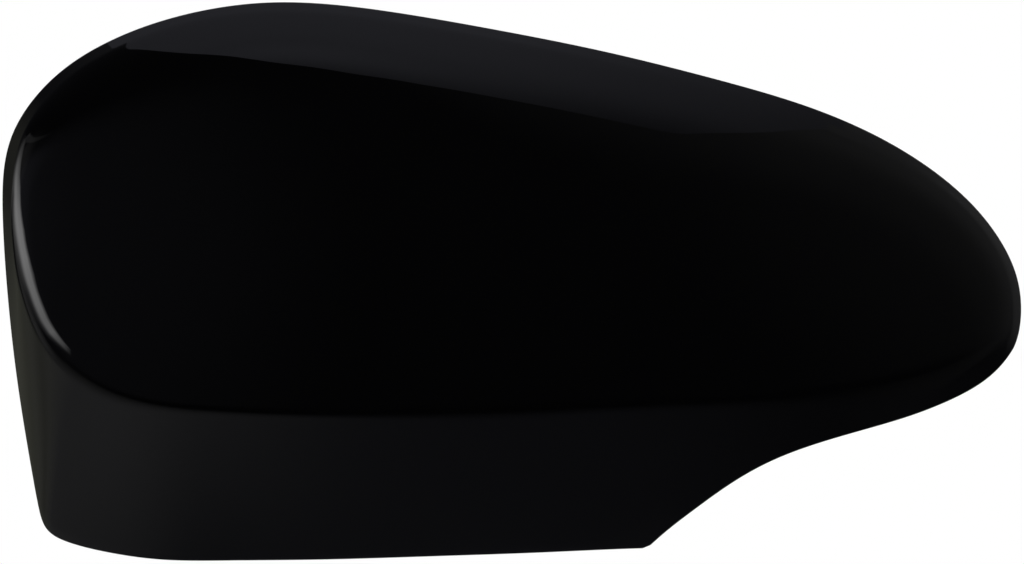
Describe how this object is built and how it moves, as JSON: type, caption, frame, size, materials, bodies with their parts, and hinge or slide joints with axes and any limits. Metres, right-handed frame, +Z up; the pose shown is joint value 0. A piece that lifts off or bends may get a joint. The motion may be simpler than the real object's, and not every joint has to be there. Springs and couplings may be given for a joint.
{
  "type": "wing mirror cover",
  "caption": "Gloss black moulded shell for a right-hand wing mirror, domed face with a fading fold over a skirt, arm cut-out, clip towers and locating pegs inside.",
  "frame": {"origin": "axis of the main locating peg, at its shoulder inside the shell", "axes": "+X along the car's width toward the door and the arm, +Y back toward the mirror glass, along the pegs, +Z up"},
  "size_m": [0.2282, 0.0785, 0.1256],
  "materials": {
    "painted_shell": "gloss black paint under a clear coat outside, bare black moulded plastic inside"
  },
  "bodies": {
    "root": {"mirror_cover": "painted_shell"}
  },
  "joints": []
}
